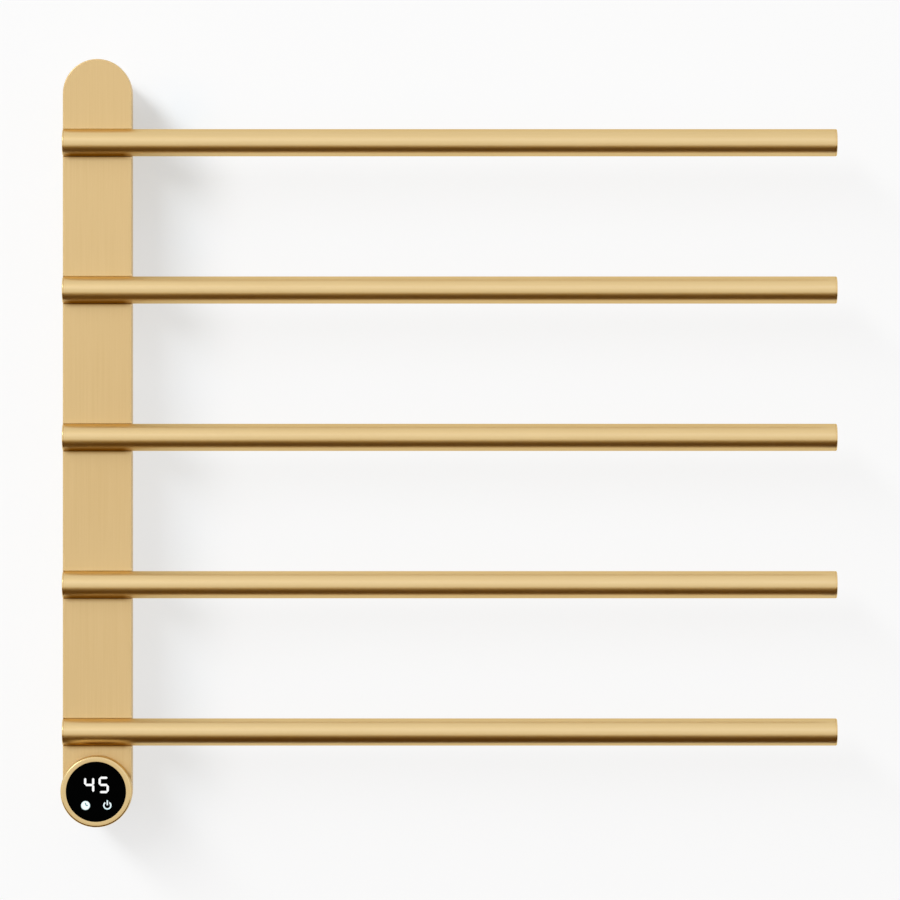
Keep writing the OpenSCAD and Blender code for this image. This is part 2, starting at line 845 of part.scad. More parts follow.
// Earth wire from the terminal block to a ring lug on the chassis plate
module earth_lead() {
  depth = plate_back - earth_wire_off;
  lug_back = plate_back - earth_lug_t;
  lap_depth = lug_back - earth_wire_r + earth_lap;
  lug_top = earth_z + earth_lug_r;
  color([0.40, 0.62, 0.15]) {
    wire([[earth_x, -depth, terminal_low], [earth_x, -depth, terminal_low - earth_wire_drop],
      [earth_x, -lap_depth, lug_top + earth_wire_r], [earth_x, -lap_depth, lug_top - earth_lap]],
      earth_wire_r);
    translate([earth_x, 0, earth_z]) ring(lug_back, plate_back, earth_lug_r, m3_r + hole_gap);
  }
}

module earth_screw() {
  color(steel) translate([earth_x, 0, earth_z])
    screw(plate_back - earth_lug_t, earth_lug_t + plate_t, m3_r, m3_head_r, m3_head_h);
}

// Sensor block on the back of the column's face, with its wire straight back to the board
module temperature_sensor() {
  color(black) translate([0, 0, sensor_z]) {
    block(face_back - sensor_t, face_back, sensor_w, sensor_w);
    disc(board_front, face_back - sensor_t + sensor_wire_in, sensor_wire_r);
  }
}

// Rubber grommet in the bracket, where the supply cable comes out of the wall
module supply_grommet() {
  neck_r = cable_r + grommet_wall;
  color(black) translate([0, 0, terminal_z]) difference() {
    union() {
      disc(0, grommet_len, neck_r - grommet_step);
      disc(0, bracket_t, neck_r);
      disc(bracket_t, bracket_t + grommet_lip_t, neck_r + grommet_lip);
    }
    disc(-cut, grommet_len + cut, cable_r);
  }
}

module pod_screw_at(a) {
  translate([pod_screw_ring * cos(a), 0, pod_screw_ring * sin(a)]) children();
}

// Fixed core: a cup on the column's face that carries the glass and guides the ring
module pod_core() {
  color(black) at_pod() difference() {
    union() {
      difference() {
        union() {
          disc(col_proj, col_proj + core_flange_t, core_flange_r);
          disc(col_proj, core_top, core_r);
        }
        disc(col_proj + core_floor, display_back, core_low_r);
        disc(display_back, core_top + cut, core_up_r);
        ring(clip_back - clip_slack, clip_front + clip_slack, core_r + cut, groove_r);
      }
      for (a = pod_screw_angles) pod_screw_at(a)
        disc(col_proj, col_proj + pod_boss_h, pod_boss_r);
    }
    for (a = pod_screw_angles) pod_screw_at(a)
      disc(col_proj - cut, col_proj + pod_boss_h - pod_hole_end, m3_r + thread_gap);
    translate([ribbon_x, 0, 0]) block(col_proj - cut, col_proj + core_floor + cut,
      ribbon_w + 2 * ribbon_side, 2 * ribbon_t);
    translate([0, -plunger_depth, 0])
      along_x(-core_r - cut, cut - core_low_r, plunger_r + plunger_gap);
  }
}

module pod_screws() {
  color(steel) at_pod() for (a = pod_screw_angles) pod_screw_at(a)
    screw(face_back, front_wall + pod_boss_h - pod_screw_end, m3_r, m3_head_r, m3_head_h);
}

// Turning ring: rounded outside, with a lip round the glass and a bore for the carrier
module dial_ring() {
  back = col_proj + ring_gap;
  lip_r = lens_r + lens_gap;
  bore = pod_r - ring_wall;
  color(gold) at_pod() rotate([90, 0, 0]) rotate_extrude() {
    translate([bore, back]) square([ring_wall, pod_face - ring_round - back]);
    translate([lip_r, carrier_front + press_gap])
      square([pod_r - ring_round - lip_r, pod_face - lip_round - carrier_front - press_gap]);
    translate([lip_r + lip_round, carrier_front + press_gap])
      square([pod_r - ring_round - lip_r - lip_round, pod_face - carrier_front - press_gap]);
    translate([pod_r - ring_round, pod_face - ring_round]) circle(r = ring_round);
    translate([lip_r + lip_round, pod_face - lip_round]) circle(r = lip_round);
  }
}

// Plastic carrier pressed into the ring; it runs on the core and has the click notches
module dial_carrier() {
  color(black) at_pod() difference() {
    ring(carrier_back, carrier_front, carrier_out_r, carrier_in_r);
    ring(carrier_front - magnet_t, carrier_front + cut, magnet_out_r, magnet_in_r);
    for (k = [0:clicks - 1]) rotate([0, k * 360 / clicks, 0]) translate([notch_ring, 0, 0])
      disc(carrier_back - cut, carrier_front - magnet_t - notch_roof, notch_r);
  }
}

module magnet_ring() {
  color(steel) at_pod() ring(carrier_front - magnet_t, carrier_front,
    magnet_out_r - press_gap, magnet_in_r + press_gap);
}

// Split clip in the core's groove that keeps the carrier on
module dial_retainer() {
  color(steel) at_pod() difference() {
    ring(clip_back, clip_front, core_r + clip_w, groove_r + clip_slack);
    translate([0, 0, -core_r])
      block(clip_back - cut, clip_front + cut, clip_split[0], clip_split[1]);
  }
}

// Round-nosed plunger in the core's left wall, pushed into the notches
module detent_plunger() {
  color(lit_white) at_pod() translate([0, -plunger_depth, 0]) {
    along_x(-plunger_nose, -plunger_tail, plunger_r);
    translate([-plunger_nose, 0, 0]) sphere(r = plunger_r);
  }
}

module detent_spring() {
  color(steel) at_pod() translate([-plunger_tail + leaf_t / 2, 0, 0])
    block(plunger_depth - leaf_deep / 2, plunger_depth + leaf_deep / 2, leaf_t, 2 * leaf_half);
}

// Outline of one bar of a digit, pointed at both ends, along X
module segment_shape(length) {
  h = length / 2 - segment_gap;
  w = stroke / 2;
  polygon([[-h, 0], [w - h, w], [h - w, w], [h, 0], [h - w, -w], [w - h, -w]]);
}

// One digit from its lit bars: t top, m middle, b bottom, and l or r with u upper or d lower
module digit_shape(bars) {
  for (s = bars) {
    if (s == "t") translate([0, digit_h / 2]) segment_shape(digit_w);
    if (s == "m") segment_shape(digit_w);
    if (s == "b") translate([0, -digit_h / 2]) segment_shape(digit_w);
    if (s == "lu") translate([-digit_w / 2, digit_h / 4]) rotate(90) segment_shape(digit_h / 2);
    if (s == "ld") translate([-digit_w / 2, -digit_h / 4]) rotate(90) segment_shape(digit_h / 2);
    if (s == "ru") translate([digit_w / 2, digit_h / 4]) rotate(90) segment_shape(digit_h / 2);
    if (s == "rd") translate([digit_w / 2, -digit_h / 4]) rotate(90) segment_shape(digit_h / 2);
  }
}

// The two lit digits, 45
module digits_shape() {
  translate([display_shift, digit_up]) {
    translate([-digit_pitch / 2, 0]) digit_shape(["lu", "m", "ru", "rd"]);
    translate([digit_pitch / 2, 0]) digit_shape(["t", "lu", "m", "rd", "b"]);
  }
}

module at_icon(side) { translate([display_shift + side * icon_pitch / 2, -icon_down]) children(); }

// Two short hands in an L, a little right of the timer icon's centre
module hands_shape() {
  at_icon(-1) translate(hands_at) {
    circle(r = hand_w / 2);
    rotate(hands_tilt) translate([-hand_w / 2, 0]) square([hand_w, long_hand]);
    translate([0, -hand_w / 2]) square([short_hand, hand_w]);
  }
}

module timer_shape() {
  difference() {
    at_icon(-1) circle(r = icon_r);
    hands_shape();
  }
}

// Open ring with an upright bar in its gap
module power_shape() {
  top = power_r + cut;
  side = top * tan(power_gap / 2);
  at_icon(1) {
    difference() {
      circle(r = power_r);
      circle(r = power_r - power_stroke);
      polygon([[0, 0], [-side, top], [side, top]]);
    }
    translate([-power_stroke / 2, power_bar_up]) square([power_stroke, power_bar_h]);
  }
}

// Round glass with a small chamfer and shallow pockets for the lit windows
module glass_lens() {
  color(black) at_pod() difference() {
    rotate([90, 0, 0]) rotate_extrude() polygon([[0, lens_back], [lens_r, lens_back],
      [lens_r, lens_face - lens_chamfer], [lens_r - lens_chamfer, lens_face], [0, lens_face]]);
    layer(lens_face - window_t, lens_face + cut) {
      digits_shape();
      timer_shape();
      hands_shape();
      power_shape();
    }
  }
}

module window(shape_colour) {
  color(shape_colour) at_pod() layer(lens_face - window_t, lens_face) children();
}

module display_digits() { window(lit_white) digits_shape(); }

module timer_icon() { window(lit_white) timer_shape(); }

module timer_hands() { window([0.35, 0.62, 0.62]) hands_shape(); }

module power_icon() { window(lit_white) power_shape(); }

module lens_gasket() {
  color(black) at_pod() ring(core_top, lens_back, core_r - gasket_in, core_up_r);
}

module display_board() {
  color(board_green) at_pod() disc(display_back, display_front, display_board_r);
}

// Light box behind the two digits
module display_module() {
  color(black) at_pod() translate([display_shift, 0, digit_up])
    block(display_front, lens_back - light_box_gap, light_box[0], light_box[1]);
}

module hall_sensors() {
  color(black) at_pod() for (a = hall_angles)
    translate([hall_ring * cos(a), 0, hall_ring * sin(a)]) rotate([0, 90 - a, 0])
      block(display_back - hall_size[2], display_back, hall_size[0], hall_size[1]);
}

// Conductive foam pads between the board and the glass, behind the touch icons
module touch_pads() {
  color([0.25, 0.25, 0.27]) at_pod() for (s = [-1, 1])
    translate([display_shift + s * icon_pitch / 2, 0, -icon_down])
      disc(display_front, lens_back, pad_r);
}

// Flat cable from the display board back through the column and up to the power board
module display_ribbon() {
  color([0.85, 0.85, 0.83]) {
    at_pod() translate([ribbon_x, 0, 0])
      block(ribbon_depth - ribbon_t / 2, display_back - ribbon_header[2], ribbon_w, ribbon_t);
    translate([ribbon_x, 0, (pod_z - ribbon_t / 2 + ribbon_foot) / 2])
      block(ribbon_depth - ribbon_t / 2, ribbon_depth + ribbon_t / 2, ribbon_w,
        ribbon_foot - pod_z + ribbon_t / 2);
  }
}

column_front();
column_housing();
wall_bracket();
hanger_rods();
lock_screw();
housing_screws();
towel_bar(0);  // towel_bar_1
towel_bar(1);  // towel_bar_2
towel_bar(2);  // towel_bar_3
towel_bar(3);  // towel_bar_4
towel_bar(4);  // towel_bar_5
inner_caps();
outer_caps();
heating_element(0);  // heating_element_1
heating_element(1);  // heating_element_2
heating_element(2);  // heating_element_3
heating_element(3);  // heating_element_4
heating_element(4);  // heating_element_5
nut_blocks();
bar_screws();
lead_grommets();
splice_blocks();
heater_loom();
loom_clips();
power_board();
power_module();
relay();
filter_capacitor();
fuse();
board_connectors();
board_screws();
terminal_block();
terminal_screws();
thermal_cutout();
supply_leads();
earth_lead();
earth_screw();
temperature_sensor();
supply_grommet();
pod_core();
pod_screws();
dial_ring();
dial_carrier();
magnet_ring();
dial_retainer();
detent_plunger();
detent_spring();
glass_lens();
lens_gasket();
display_board();
display_module();
hall_sensors();
touch_pads();
display_digits();
timer_icon();
timer_hands();
power_icon();
display_ribbon();
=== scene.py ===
# Looks of the electric heated towel rail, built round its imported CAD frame.
# Everything is in metres: X runs along the bars, Y into the wall and Z up. The wall is Y = 0.
import math

import bmesh
import bpy
import numpy as np
from mathutils import Matrix, Vector


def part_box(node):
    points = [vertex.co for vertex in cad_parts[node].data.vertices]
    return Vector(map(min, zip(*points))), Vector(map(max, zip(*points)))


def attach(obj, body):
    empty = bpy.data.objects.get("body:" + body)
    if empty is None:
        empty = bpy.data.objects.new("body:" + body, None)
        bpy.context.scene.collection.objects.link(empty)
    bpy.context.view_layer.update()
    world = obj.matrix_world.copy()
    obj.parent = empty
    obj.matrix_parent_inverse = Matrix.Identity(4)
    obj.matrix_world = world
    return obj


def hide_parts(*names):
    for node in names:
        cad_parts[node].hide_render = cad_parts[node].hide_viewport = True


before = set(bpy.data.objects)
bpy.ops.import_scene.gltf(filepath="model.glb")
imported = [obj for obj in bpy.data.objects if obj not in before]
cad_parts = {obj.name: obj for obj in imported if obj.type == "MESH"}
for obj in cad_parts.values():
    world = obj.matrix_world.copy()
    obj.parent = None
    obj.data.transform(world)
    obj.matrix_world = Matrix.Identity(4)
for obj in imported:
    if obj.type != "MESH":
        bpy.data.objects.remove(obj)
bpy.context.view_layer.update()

# Camera
# It looks straight at the wall, level with the middle bar, and stands far enough away that
# little perspective is left: 900 pixels wide, 1293.5 of them to a metre at the bars' fronts.
PICTURE_PX = 900
PX_PER_METRE = 1293.5
CAMERA_AWAY = 3.866
CAMERA_X, CAMERA_Z = 0.27345, -0.00625
BAR_FRONTS = -0.0705
SENSOR_MM = 36
VIEW_END = 40
camera = bpy.data.objects.new("camera", bpy.data.cameras.new("camera"))
bpy.context.scene.collection.objects.link(camera)
bpy.context.scene.camera = camera
camera.location = (CAMERA_X, BAR_FRONTS - CAMERA_AWAY, CAMERA_Z)
camera.rotation_euler = (math.pi / 2, 0, 0)
camera.data.sensor_width = SENSOR_MM
camera.data.lens = SENSOR_MM * CAMERA_AWAY * PX_PER_METRE / PICTURE_PX
camera.data.clip_end = VIEW_END
bpy.context.scene.view_settings.view_transform = "Standard"


# Wall
# Plain white paint, which carries the rail and takes its soft shadow. Most of its white is a
# painted glow that shows to the eye and in reflections whatever the light. There is less of it
# beside the column and near its top, which paints the shadow deeper there, and the paint there
# is cooler, a painted tint that takes the warmth out of the shade. There is all of it where the
# felt skirt hides the wall from the light, which paints light over that shade. It shows from
# the front only, so that the rail's back can be seen.
class Value:
    """What comes out of a shader node. Arithmetic on it adds Math nodes."""

    def __init__(self, mix, socket):
        self.mix = mix
        self.socket = socket

    def math(self, operation, *numbers):
        return self.mix.node("Math", {"operation": operation}, dict(enumerate(numbers)))

    def __add__(self, other):
        return self.math("ADD", self, other)

    def __sub__(self, other):
        return self.math("SUBTRACT", self, other)

    def __rsub__(self, other):
        return self.math("SUBTRACT", other, self)

    def __mul__(self, other):
        return self.math("MULTIPLY", self, other)

    def __gt__(self, other):
        return self.math("GREATER_THAN", self, other)

    def __lt__(self, other):
        return self.math("LESS_THAN", self, other)

    def __abs__(self):
        return self.math("ABSOLUTE", self)

    __radd__ = __add__
    __rmul__ = __mul__


class Mixture:
    """The node tree of a finish or of the sky."""

    def __init__(self, owner):
        owner.use_nodes = True
        self.owner = owner
        self.tree = owner.node_tree

    def put(self, socket, value):
        """Links a value to a socket, or writes a number, a vector or a colour into it."""
        if isinstance(value, Value):
            self.tree.links.new(value.socket, socket)
        elif socket.type == "RGBA":
            socket.default_value = (*value, 1)
        else:
            socket.default_value = value

    def node(self, kind, settings, sockets, out=0):
        """Adds a node: its settings first, a ramp's stops among them, then its sockets."""
        made = self.tree.nodes.new("ShaderNode" + kind)
        for name, value in settings.items():
            if name == "stops":
                bar = made.color_ramp.elements
                while len(bar) < len(value):
                    bar.new(0.5)
                for stop, (place, colour) in zip(bar, value):
                    stop.position = place
                    stop.color = (*colour, 1)
            else:
                setattr(made, name, value)
        for name, value in sockets.items():
            self.put(made.inputs[name], value)
        return Value(self, made.outputs[out])

    def blend(self, amount, first, second):
        """A colour that goes from the first to the second as the amount goes from 0 to 1."""
        return self.node("Mix", {"data_type": "RGBA"}, {0: amount, 6: first, 7: second}, 2)

    def places(self, scale, centre=(0, 0, 0)):
        """Object coordinates about a centre, each stretched by its own scale."""
        here = self.node("TexCoord", {}, {}, "Object")
        moved = self.node("VectorMath", {"operation": "SUBTRACT"}, {0: here, 1: centre})
        return self.node("VectorMath", {"operation": "MULTIPLY"}, {0: moved, 1: scale})

    def along(self, axis, centre=(0, 0, 0)):
        """The Object coordinate X, Y or Z about a centre, in metres."""
        return self.node("SeparateXYZ", {}, {0: self.places((1, 1, 1), centre)}, axis)

    def noise(self, vector, detail=3.0, rough=0.5):
        """Cloudy noise from 0 to 1 over a vector."""
        return self.node("TexNoise", {}, {"Vector": vector, "Scale": 1.0, "Detail": detail,
                                          "Roughness": rough})

    def surface(self, **sockets):
        """Fills sockets of the surface shader, each named with _ for a space."""
        for name, value in sockets.items():
            self.put(self.tree.nodes["Principled BSDF"].inputs[name.replace("_", " ")], value)

    def relief(self, height, depth):
        """Bumps of that depth in metres over a height from 0 to 1."""
        bump = self.node("Bump", {}, {"Distance": depth, "Height": height}, "Normal")
        self.surface(Normal=bump)


def finish(name):
    """A new finish, ready for its nodes."""
    return Mixture(bpy.data.materials.new(name))


def flat_sheet(name, corners):
    """One flat four-cornered sheet of the set, which isn't part of the rail."""
    mesh = bpy.data.meshes.new(name)
    mesh.from_pydata(corners, [], [(0, 1, 2, 3)])
    made = bpy.data.objects.new(name, mesh)
    bpy.context.scene.collection.objects.link(made)
    return made


WALL_LEFT, WALL_RIGHT = -5.0, 5.6
GROUND, WALL_TOP = -3.0, 5.0
WALL_GAP = 0.0006
wall = flat_sheet("wall", [(WALL_LEFT, WALL_GAP, GROUND), (WALL_RIGHT, WALL_GAP, GROUND),
                           (WALL_RIGHT, WALL_GAP, WALL_TOP), (WALL_LEFT, WALL_GAP, WALL_TOP)])
# The share of the white that is a painted glow: away from the rail, and beside the column at
# its foot and at its top, where less glow paints the shadow deeper. Pairs are the places where a
# change begins and ends.
GLOW_FAR, GLOW_LOW, GLOW_HIGH = 0.84, 0.71, 0.45
GLOW_RISE = (0.05, 0.3)
WALL_WHITE = (0.965, 0.966, 0.968)
FAR_PAINT = (0.955, 0.965, 0.975)
# Beside the column the paint is cooler: a painted tint that takes the warmth out of the shade.
SHADE_COOLING_PAINT = (0.85, 0.93, 1.0)
SHADE_X = 0.035
SHADE_SIDES = (0.082, 0.024)
SHADE_TOP = (0.32, 0.25)
SHADE_FOOT = (-0.37, -0.26)
SKIRT_TOP = -0.5
BELOW_RAIL = (-0.36, SKIRT_TOP)
paint = finish("wall_paint_and_painted_glow")


def step(mix, place, outside, inside):
    """A smooth step from 0 to 1 as a place goes from outside to inside."""
    return mix.node("MapRange", {"interpolation_type": "SMOOTHSTEP"},
                    {0: place, 1: outside, 2: inside})


up = paint.along("Z")
# The zone beside the column where the shadow is painted deeper and cooler.
painted_shade_zone = (step(paint, abs(paint.along("X") - SHADE_X), *SHADE_SIDES)
          * step(paint, up, *SHADE_TOP) * step(paint, up, *SHADE_FOOT))
paint.surface(Base_Color=paint.blend(painted_shade_zone, FAR_PAINT, SHADE_COOLING_PAINT), Roughness=0.9,
              Specular_IOR_Level=0.0)
painted = Value(paint, paint.tree.nodes["Principled BSDF"].outputs[0])
seen = (paint.node("LightPath", {}, {}, "Is Camera Ray")
        + paint.node("LightPath", {}, {}, "Is Glossy Ray"))
near = paint.node("MapRange", {}, {0: up, 1: GLOW_RISE[0], 2: GLOW_RISE[1], 3: GLOW_LOW,
                                   4: GLOW_HIGH})
painted_glow_share = near * painted_shade_zone + (1 - painted_shade_zone) * GLOW_FAR
# Painted light: the full glow where the felt skirt hides the wall from the light.
painted_glow_share = painted_glow_share + (1 - painted_glow_share) * step(paint, up, *BELOW_RAIL)
front = paint.node("MixShader", {}, {0: seen * painted_glow_share, 1: painted,
                                     2: paint.node("Emission", {}, {"Color": WALL_WHITE})})
shown = paint.node("MixShader", {}, {0: paint.node("NewGeometry", {}, {}, "Backfacing"),
                                     1: front, 2: paint.node("BsdfTransparent", {}, {})})
paint.put(paint.tree.nodes["Material Output"].inputs["Surface"], shown)
wall.data.materials.append(paint.owner)

# Studio
# White all round for the eye and in reflections, and half of that as light. A long narrow soft
# box to the upper left gives the other half. It lies along the slant of its own light, so the
# shadow's slanting edges stay crisp and the bars' shadows are faint. The bars mirror a dark
# brown felt, far below them and amber towards its front, along their undersides.
sky = Mixture(bpy.data.worlds.new("sky"))
bpy.context.scene.world = sky.owner
way = sky.node("TexCoord", {}, {}, "Generated")
height = sky.node("SeparateXYZ", {}, {0: way}, "Z")
SKY_STOPS = [(0.0, (1.0, 1.0, 1.0)), (0.2, (1.1, 1.11, 1.14)), (0.38, (1.14, 1.2, 1.42)),
             (0.6, (1.04, 1.04, 1.04)), (1.0, (0.98, 0.98, 0.98))]
glow = sky.node("ValToRGB", {"stops": SKY_STOPS}, {0: height})
SKY_LIGHT = 0.42
unseen = 1 - (sky.node("LightPath", {}, {}, "Is Camera Ray")
              + sky.node("LightPath", {}, {}, "Is Glossy Ray")
              + sky.node("LightPath", {}, {}, "Is Transmission Ray"))
sky.put(sky.tree.nodes["Background"].inputs["Strength"], 1 - unseen * (1 - SKY_LIGHT))

BOX_AIM = Vector((0.27, 0, 0))
BOX_AWAY = 16.0
BOX_WIDE, BOX_LONG = 3.0, 16.0
BOX_WATTS = 2440
BOX_SHINE = (5.5, 5.5, 5.5)
BOX_EDGE, BOX_FULL = math.radians(14), math.radians(6)
BOX_TURN = math.radians(38)
BOX_RISE = math.radians(30)
towards = Vector((math.sin(BOX_TURN) * math.cos(BOX_RISE),
                  math.cos(BOX_TURN) * math.cos(BOX_RISE), -math.sin(BOX_RISE)))
BOX_ROLL = Matrix.Rotation(math.radians(56), 3, "Z")
facing = sky.node("VectorMath", {"operation": "DOT_PRODUCT"}, {0: way, 1: -towards}, "Value")
patch = step(sky, facing, math.cos(BOX_EDGE), math.cos(BOX_FULL))
sky.put(sky.tree.nodes["Background"].inputs["Color"], sky.blend(patch, glow, BOX_SHINE))
box_light = bpy.data.lights.new("soft_box", "AREA")
box_light.shape = "RECTANGLE"
box_light.size = BOX_WIDE
box_light.size_y = BOX_LONG
box_light.energy = BOX_WATTS
soft_box = bpy.data.objects.new("soft_box", box_light)
bpy.context.scene.collection.objects.link(soft_box)
soft_box.location = BOX_AIM - towards * BOX_AWAY
soft_box.rotation_euler = (towards.to_track_quat("-Z", "Y").to_matrix() @ BOX_ROLL).to_euler()
soft_box.visible_glossy = False

FELT_LEFT, FELT_RIGHT = -8, 8.6
FELT_FRONT = -6.4
AMBER_FROM = -2.5
FELT_BROWN = (0.105, 0.045, 0.001)
FELT_AMBER = (0.43, 0.27, 0.002)
SKIRT_Y = -0.002
felt = flat_sheet("felt", [(FELT_LEFT, FELT_FRONT, GROUND), (FELT_RIGHT, FELT_FRONT, GROUND),
                           (FELT_RIGHT, 0, GROUND), (FELT_LEFT, 0, GROUND)])
skirt = flat_sheet("felt_skirt", [(FELT_LEFT, SKIRT_Y, GROUND), (FELT_RIGHT, SKIRT_Y, GROUND),
                                  (FELT_RIGHT, SKIRT_Y, SKIRT_TOP),
                                  (FELT_LEFT, SKIRT_Y, SKIRT_TOP)])
brown = finish("brown_felt")
amber = step(brown, brown.along("Y"), AMBER_FROM, FELT_FRONT)
brown.surface(Base_Color=brown.blend(amber, FELT_BROWN, FELT_AMBER), Roughness=1.0,
              Specular_IOR_Level=0.0)
for sheet in (felt, skirt):
    sheet.visible_camera = False
    sheet.data.materials.append(brown.owner)


# Column
# A pressed steel front shell with a 0.8 mm rounded edge and five saddles for the bars, and a
# chassis with side walls that reach back to the wall. Both have a fine upright grain under a
# thin gold coat. Right below each bar the front is painted deep amber, as painted contact shade.
GOLD_FLOOR = (0.87, 0.82, 0.73)
GOLD_TINT = (0.89, 0.74, 0.46)
CLOUDS = (7, 7, 7)
BRUSHED = 0.98
UPRIGHT_GRAIN = (900, 900, 11)
GRAIN_DEEP = 4e-6
COLUMN_TONE = (0.773, 0.577, 0.296)
PAINTED_CONTACT_SHADE = (0.33, 0.155, 0.008)
CONTACT_SHADE_FROM, CONTACT_SHADE_FULL = 0.0155, 0.0105
COLUMN_SIDES = (0.0265, 0.0195)
FACE_DEEP = 0.0001


def gold(mix, tone, lines, deep):
    """The colour of gold over fine lines, whose floors are deeper in colour."""
    cloud = mix.noise(mix.places(CLOUDS), 2.0)
    floors = tuple(part * share for part, share in zip(tone, GOLD_FLOOR))
    return mix.blend((lines * 1.2 + cloud * 0.8) * deep, tone, floors)


def gold_coat(mix, colour, lines, metal, roughness, relief, edge):
    """A coat of that colour over fine lines, whose floors are a little duller. The edge is a
    mask, 1 where the metal turns away from its brushed side and is smoother."""
    mix.surface(Base_Color=colour, Metallic=metal, Specular_Tint=GOLD_TINT,
                Roughness=(roughness + lines * 0.12) * (1 - edge * 0.45))
    mix.relief(lines * (1 - edge * 0.6), relief)


def leaning(mix, axis):
    """How much the surface faces along X, Y or Z, from 0 to 1, whichever way."""
    return abs(mix.node("SeparateXYZ", {}, {0: mix.node("NewGeometry", {}, {}, "Normal")}, axis))


def dress(mix, *nodes):
    """Gives a finish to CAD nodes, in place of the plain one that they come with."""
    for name in nodes:
        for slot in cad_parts[name].material_slots:
            slot.material = mix.owner


def middle(name):
    """The middle of a CAD node's box."""
    low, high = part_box(name)
    return (low + high) / 2


def below_bar(mix):
    """How far a place lies below the middle of the nearest bar, in metres."""
    drop = top_line - mix.along("Z") + pitch / 2
    return mix.node("Math", {"operation": "FLOORED_MODULO"}, {0: drop, 1: pitch}) - pitch / 2


def over_column(mix):
    """A mask that is 1 along the middle of the column and 0 at its sides and beyond."""
    return step(mix, abs(mix.along("X") - middle("column_front").x), *COLUMN_SIDES)


top_line = middle("towel_bar_1").z
pitch = top_line - middle("towel_bar_2").z
column_gold = finish("column_gold")
upright = column_gold.noise(column_gold.places(UPRIGHT_GRAIN), 4.0, 0.7)
below = below_bar(column_gold)
# Painted contact shade: deep amber on the face just below each bar, fading out from 10.5 to 15.5
# mm below the bar's middle and towards the column's sides.
nearby = column_gold.node("MapRange", {}, {0: below, 1: CONTACT_SHADE_FROM, 2: CONTACT_SHADE_FULL})
on_face = column_gold.along("Y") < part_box("column_front")[0].y + FACE_DEEP
painted_contact_shade = nearby * nearby * nearby * (below > 0) * over_column(column_gold) * on_face
column_colour = gold(column_gold, COLUMN_TONE, upright, 0.62)
gold_coat(column_gold, column_gold.blend(painted_contact_shade, column_colour, PAINTED_CONTACT_SHADE), upright, 0.6, 0.42,
          GRAIN_DEEP, leaning(column_gold, "Y") < BRUSHED)
dress(column_gold, "column_front", "column_housing")

# Wall bracket
# Pressed from 2 mm zinc-plated steel, with hooked side flanges, screwed to the wall through
# four holes. The housing hangs on it by two rods, and a set screw below locks it.


def zinc_plate(name, tone, roughness):
    """Bright zinc with the faint patches of its crystals and a few rubbed spots."""
    mix = finish(name)
    patch = mix.node("TexVoronoi", {}, {"Vector": mix.places((260, 260, 260)), "Scale": 1.0},
                     "Color")
    shade = mix.node("SeparateXYZ", {}, {0: patch}, 0)
    rubbed = mix.noise(mix.places((60, 60, 60)), 4.0)
    dark = tuple(0.72 * part for part in tone)
    mix.surface(Base_Color=mix.blend(shade * 0.5 + rubbed * 0.4, tone, dark), Metallic=1.0,
                Roughness=roughness + rubbed * 0.2)
    mix.relief(rubbed, 1e-5)
    return mix


zinc = zinc_plate("zinc_steel", (0.60, 0.61, 0.62), 0.28)
dress(zinc, "wall_bracket", "hanger_rods", "thermal_cutout", "nut_blocks", "dial_retainer",
      "detent_spring")
screw_zinc = zinc_plate("screw_steel", (0.50, 0.505, 0.52), 0.2)
dress(screw_zinc, "lock_screw", "housing_screws", "bar_screws", "board_screws",
      "terminal_screws", "earth_screw", "pod_screws")

# Supply grommet and other rubber
# Moulded black rubber: the grommet in the bracket's cable hole, the bushes that guard the
# elements' tails, the gasket under the glass and the foam pads behind the touch icons.


def moulded(name, colour, roughness, grain, relief):
    """Plastic or rubber with the fine texture of its mould and a faint unevenness."""
    mix = finish(name)
    texture = mix.noise(mix.places((grain, grain, grain)), 3.0)
    cloud = mix.noise(mix.places((45, 45, 45)), 2.0)
    worn = tuple(part * 0.75 for part in colour)
    mix.surface(Base_Color=mix.blend(cloud, colour, worn), Roughness=roughness + cloud * 0.12)
    mix.relief(texture, relief)
    return mix


rubber = moulded("black_rubber", (0.022, 0.022, 0.024), 0.62, 2200, 3e-5)
dress(rubber, "supply_grommet", "lead_grommets", "lens_gasket", "touch_pads")

# Towel bars
# Five steel tubes, 21 mm across with a 1.5 mm wall, cut square with a small chamfer, and
# brushed along their length under the gold coat. Each lies in a saddle, screwed from behind.
# Where a bar sinks into the column, its underside is painted deep amber as painted contact
# shade.
MM = 0.001
ROUND = 128


def turned(profile, line, centre):
    """Surface of revolution about a line along X or Y through a centre: the profile's point
    (s, r) goes s along the line and (r cos a, r sin a) across it as a goes once round."""
    s, r = (np.array(profile) * MM).T[:, :, None]
    a = np.linspace(0, 2 * np.pi, ROUND, endpoint=False)[None, :]
    s = s + 0 * a
    if line == "X":
        return np.stack([s, centre[1] + r * np.cos(a), centre[2] + r * np.sin(a)], -1)
    return np.stack([centre[0] + r * np.cos(a), s, centre[2] + r * np.sin(a)], -1)


